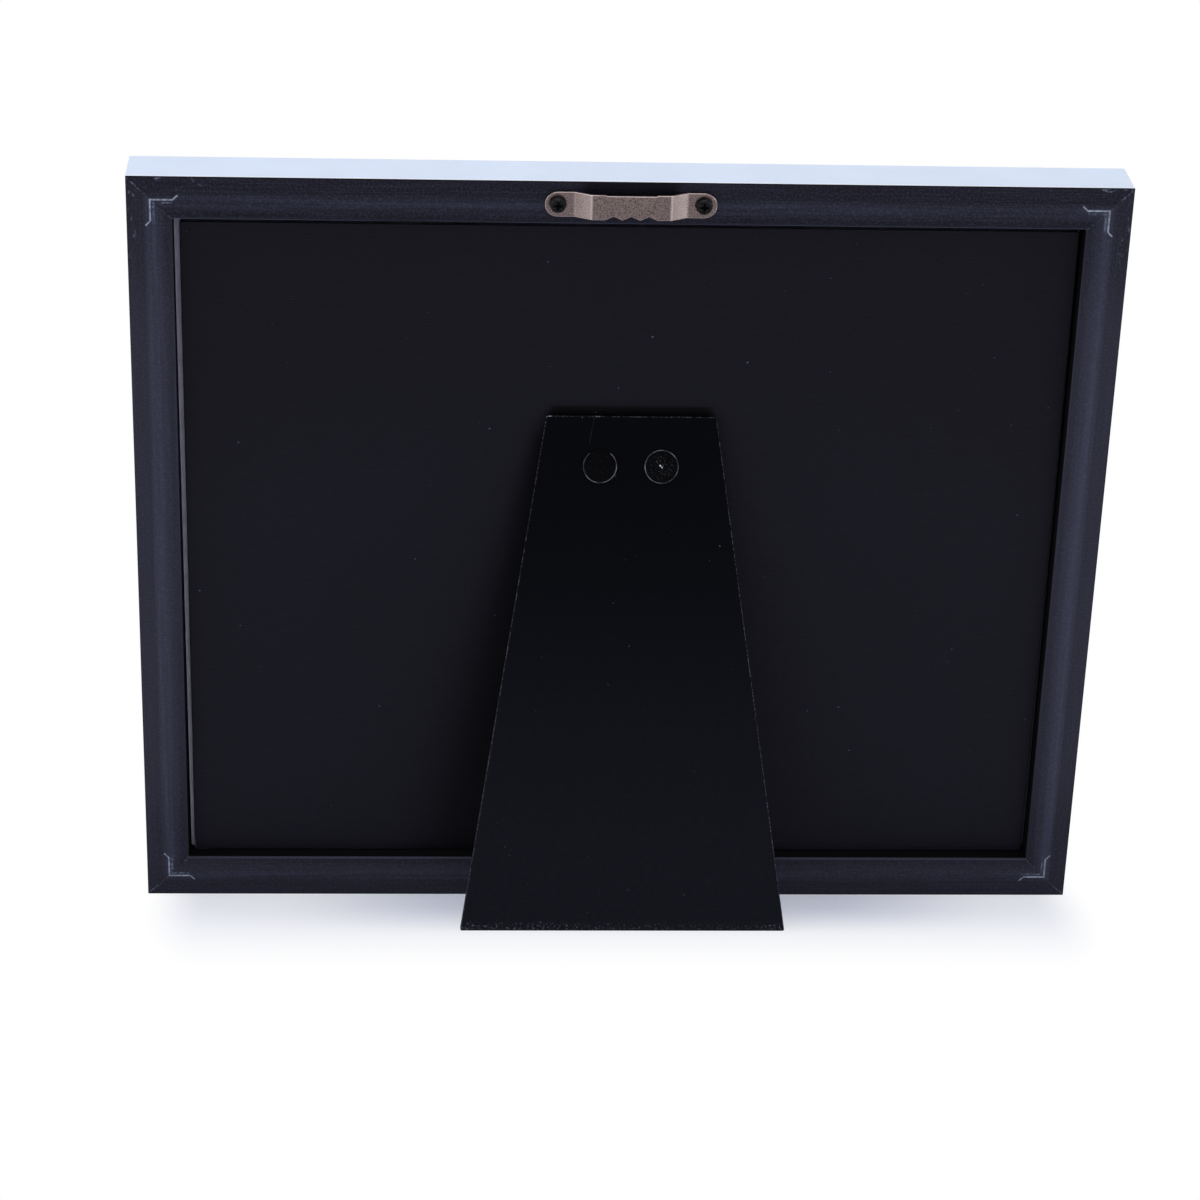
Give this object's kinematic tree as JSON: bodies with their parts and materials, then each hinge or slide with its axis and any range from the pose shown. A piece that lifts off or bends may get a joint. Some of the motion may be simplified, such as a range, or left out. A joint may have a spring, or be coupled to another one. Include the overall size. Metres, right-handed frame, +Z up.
{
  "type": "easel back photo frame",
  "caption": "Easel back photo frame: mitred plastic moulding with glass, print, card, backing board with a hinged strut, and a sawtooth wall hanger.",
  "frame": {"origin": "middle of the bounding box, on the level surface that the frame stands on", "axes": "+X along the frame's length, +Z up, and the picture faces -Y with the strut behind it at +Y"},
  "size_m": [0.281, 0.0836, 0.226],
  "materials": {
    "moulding_core": "matt black extruded plastic with fine lengthwise streaks",
    "moulding_foil": "pale silver-white foil, satin",
    "nail_steel": "bare steel, cut edges",
    "hanger_nickel": "pinkish nickel plating, tumbled",
    "black_screw": "black oxide, slightly glossy",
    "clear_glass": "clear float glass",
    "print_paper": "plain white photographic paper, satin",
    "filler_card": "grey card",
    "black_board": "hardboard faced with black ribbed paper",
    "strut_board": "black painted hardboard, worn at its edges",
    "hinge_steel": "black painted pressed steel",
    "black_rivet": "black painted steel, glossy"
  },
  "bodies": {
    "frame": {"top_rail": "moulding_core", "bottom_rail": "moulding_core", "left_rail": "moulding_core", "right_rail": "moulding_core", "top_foil": "moulding_foil", "bottom_foil": "moulding_foil", "left_foil": "moulding_foil", "right_foil": "moulding_foil", "v_nail_top_left": "nail_steel", "v_nail_top_right": "nail_steel", "v_nail_bottom_left": "nail_steel", "v_nail_bottom_right": "nail_steel", "sawtooth_hanger": "hanger_nickel", "hanger_screw_left": "black_screw", "hanger_screw_right": "black_screw"},
    "glass": {"glass_pane": "clear_glass"},
    "print": {"print_sheet": "print_paper"},
    "card": {"filler_card": "filler_card"},
    "backing": {"backing_board": "black_board", "hinge_board_leaf": "hinge_steel", "hinge_pin": "hinge_steel", "board_rivet_left": "hinge_steel", "board_rivet_right": "hinge_steel"},
    "strut": {"strut_leg": "strut_board", "hinge_leg_leaf": "hinge_steel", "leg_rivet_left": "black_rivet", "leg_rivet_right": "black_rivet"}
  },
  "joints": [
    {"name": "glass_lift", "type": "slide", "parent": "frame", "child": "glass", "axis": [0, 0.9613, -0.2756], "range_m": [0, 0.02]},
    {"name": "print_lift", "type": "slide", "parent": "glass", "child": "print", "axis": [0, 0.9613, -0.2756], "range_m": [0, 0.015]},
    {"name": "card_lift", "type": "slide", "parent": "print", "child": "card", "axis": [0, 0.9613, -0.2756], "range_m": [0, 0.015]},
    {"name": "backing_lift", "type": "slide", "parent": "card", "child": "backing", "axis": [0, 0.9613, -0.2756], "range_m": [0, 0.03]},
    {"name": "strut_hinge", "type": "hinge", "parent": "backing", "child": "strut", "pos_m": [-0.00185, 0.01253, 0.14344], "axis": [1, 0, 0], "range_deg": [-14.76, 0]}
  ]
}
